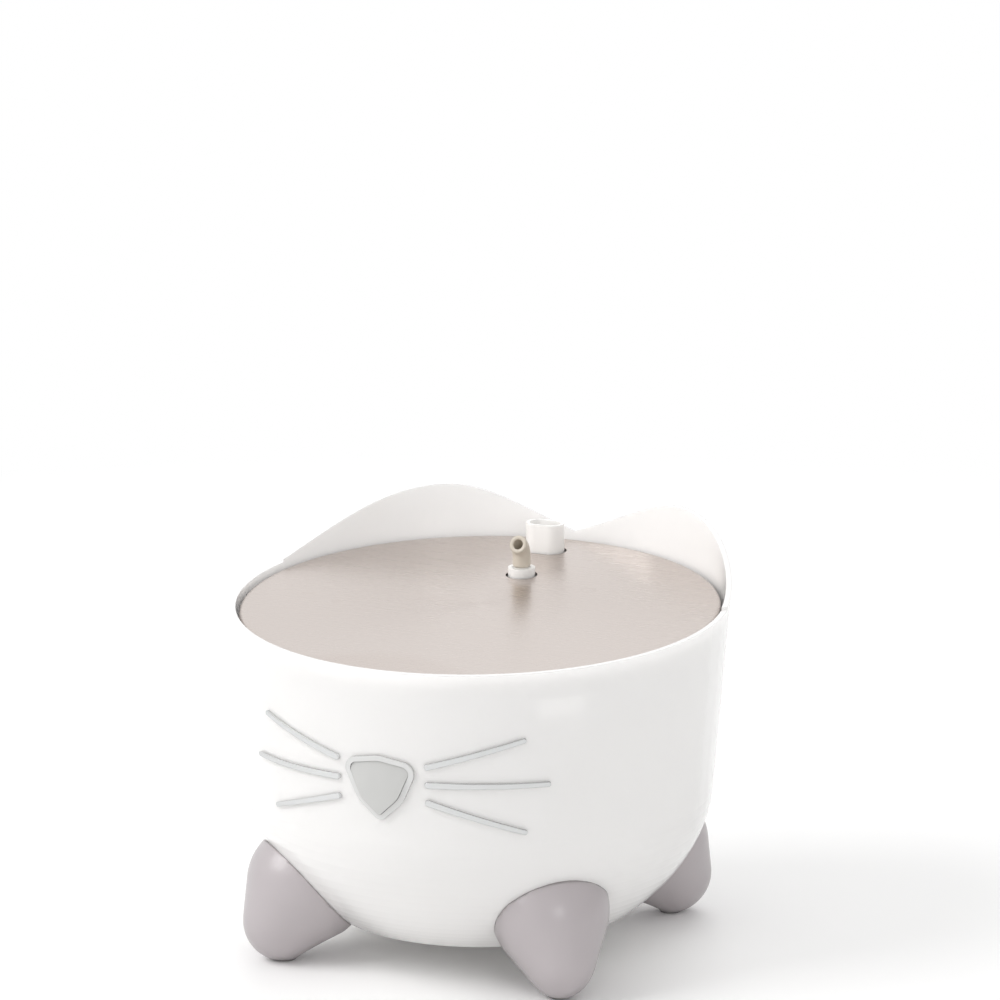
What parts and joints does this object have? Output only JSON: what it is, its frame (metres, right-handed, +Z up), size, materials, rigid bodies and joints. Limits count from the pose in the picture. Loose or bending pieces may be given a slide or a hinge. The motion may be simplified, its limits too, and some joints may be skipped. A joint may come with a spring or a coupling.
{
  "type": "pet water fountain",
  "caption": "Round white pet water fountain with a cat's ears, nose, whiskers and paws, a steel drinking top, a spout, a tray with a filter box and a small pump.",
  "frame": {"origin": "centre of the footprint on the floor, under the bowl's axis", "axes": "+Z up along the bowl's axis, -Y toward the nose, +X toward the right seen from the nose side"},
  "size_m": [0.2477, 0.2944, 0.1777],
  "materials": {
    "bowl_white": "gloss",
    "paw_mauve": "satin",
    "pad_rubber": "matte",
    "nose_glow": "gloss",
    "nose_rim": "satin",
    "whisker_clear": "gloss",
    "pump_cream": "satin",
    "lamp_red": "gloss",
    "sensor_grey": "satin",
    "cup_soft": "matte",
    "shaft_ceramic": "satin",
    "bush_black": "matte",
    "tube_clear": "gloss",
    "tray_white": "satin",
    "box_white": "satin",
    "filter_grey": "matte",
    "filter_peach": "matte",
    "filter_rim": "matte",
    "steel": "brushed",
    "stem_white": "satin",
    "elbow_beige": "satin",
    "cord_grey": "satin",
    "tie_dark": "matte",
    "plug_grey": "satin",
    "plug_steel": "polished"
  },
  "bodies": {
    "bowl": {"bowl_shell": "bowl_white", "foot_front_left": "paw_mauve", "foot_front_right": "paw_mauve", "foot_rear_left": "paw_mauve", "foot_rear_right": "paw_mauve", "foot_pads": "pad_rubber", "nose_lens": "nose_glow", "nose_bezel": "nose_rim", "nose_gasket": "pad_rubber", "whisker_left_upper": "whisker_clear", "whisker_left_middle": "whisker_clear", "whisker_left_lower": "whisker_clear", "whisker_right_upper": "whisker_clear", "whisker_right_middle": "whisker_clear", "whisker_right_lower": "whisker_clear", "cord_grommet": "pad_rubber", "power_cord": "cord_grey", "cord_coil": "cord_grey", "cord_tie": "tie_dark", "plug_lead": "cord_grey", "plug_grip": "plug_grey", "plug_shell": "plug_steel"},
    "pump": {"pump_housing": "pump_cream", "lamp_lens": "lamp_red", "sensor_window": "sensor_grey", "suction_cups": "cup_soft", "cord_gland": "cord_grey", "impeller_shaft": "shaft_ceramic", "shaft_bush": "bush_black"},
    "cover": {"intake_cover": "pump_cream", "cover_bush": "bush_black"},
    "rotor": {"impeller": "shaft_ceramic", "rotor_magnet": "bush_black"},
    "knob": {"flow_knob": "pump_cream"},
    "riser": {"riser_tube": "tube_clear"},
    "tray": {"tray": "tray_white"},
    "box": {"filter_box": "box_white"},
    "cartridge": {"filter_frame": "filter_rim", "carbon_pockets": "filter_grey", "resin_pockets": "filter_peach"},
    "top": {"steel_top": "steel"},
    "spout": {"spout_stem": "stem_white"},
    "elbow": {"spout_elbow": "elbow_beige"}
  },
  "joints": [
    {"name": "pump_lift", "type": "slide", "parent": "bowl", "child": "pump", "axis": [0, 0, 1], "range_m": [0, 0.119]},
    {"name": "riser_lift", "type": "slide", "parent": "pump", "child": "riser", "axis": [0, 0, 1], "range_m": [0, 0.01]},
    {"name": "tray_lift", "type": "slide", "parent": "riser", "child": "tray", "axis": [0, 0, 1], "range_m": [0, 0.016]},
    {"name": "top_lift", "type": "slide", "parent": "tray", "child": "top", "axis": [0, 0, 1], "range_m": [0, 0.068]},
    {"name": "spout_lift", "type": "slide", "parent": "top", "child": "spout", "axis": [0, 0, 1], "range_m": [0, 0.023]},
    {"name": "elbow_turn", "type": "hinge", "parent": "spout", "child": "elbow", "pos_m": [0, 0.046, 0.1564], "axis": [0, 0, 1], "range_deg": [-170, 170]},
    {"name": "box_drop", "type": "slide", "parent": "tray", "child": "box", "axis": [0, 0, -1], "range_m": [0, 0.015]},
    {"name": "cartridge_lift", "type": "slide", "parent": "box", "child": "cartridge", "axis": [0, 0, 1], "range_m": [0, 0.01]},
    {"name": "rotor_spin", "type": "hinge", "parent": "pump", "child": "rotor", "pos_m": [-0.01119, 0.04942, 0.0465], "axis": [0.6018, 0.7986, 0], "continuous": true},
    {"name": "knob_turn", "type": "hinge", "parent": "pump", "child": "knob", "pos_m": [-0.03306, 0.03585, 0.0531], "axis": [-0.6018, -0.7986, 0], "range_deg": [-135, 135]},
    {"name": "cover_slide", "type": "slide", "parent": "pump", "child": "cover", "axis": [0.6018, 0.7986, 0], "range_m": [0, 0.003]}
  ]
}
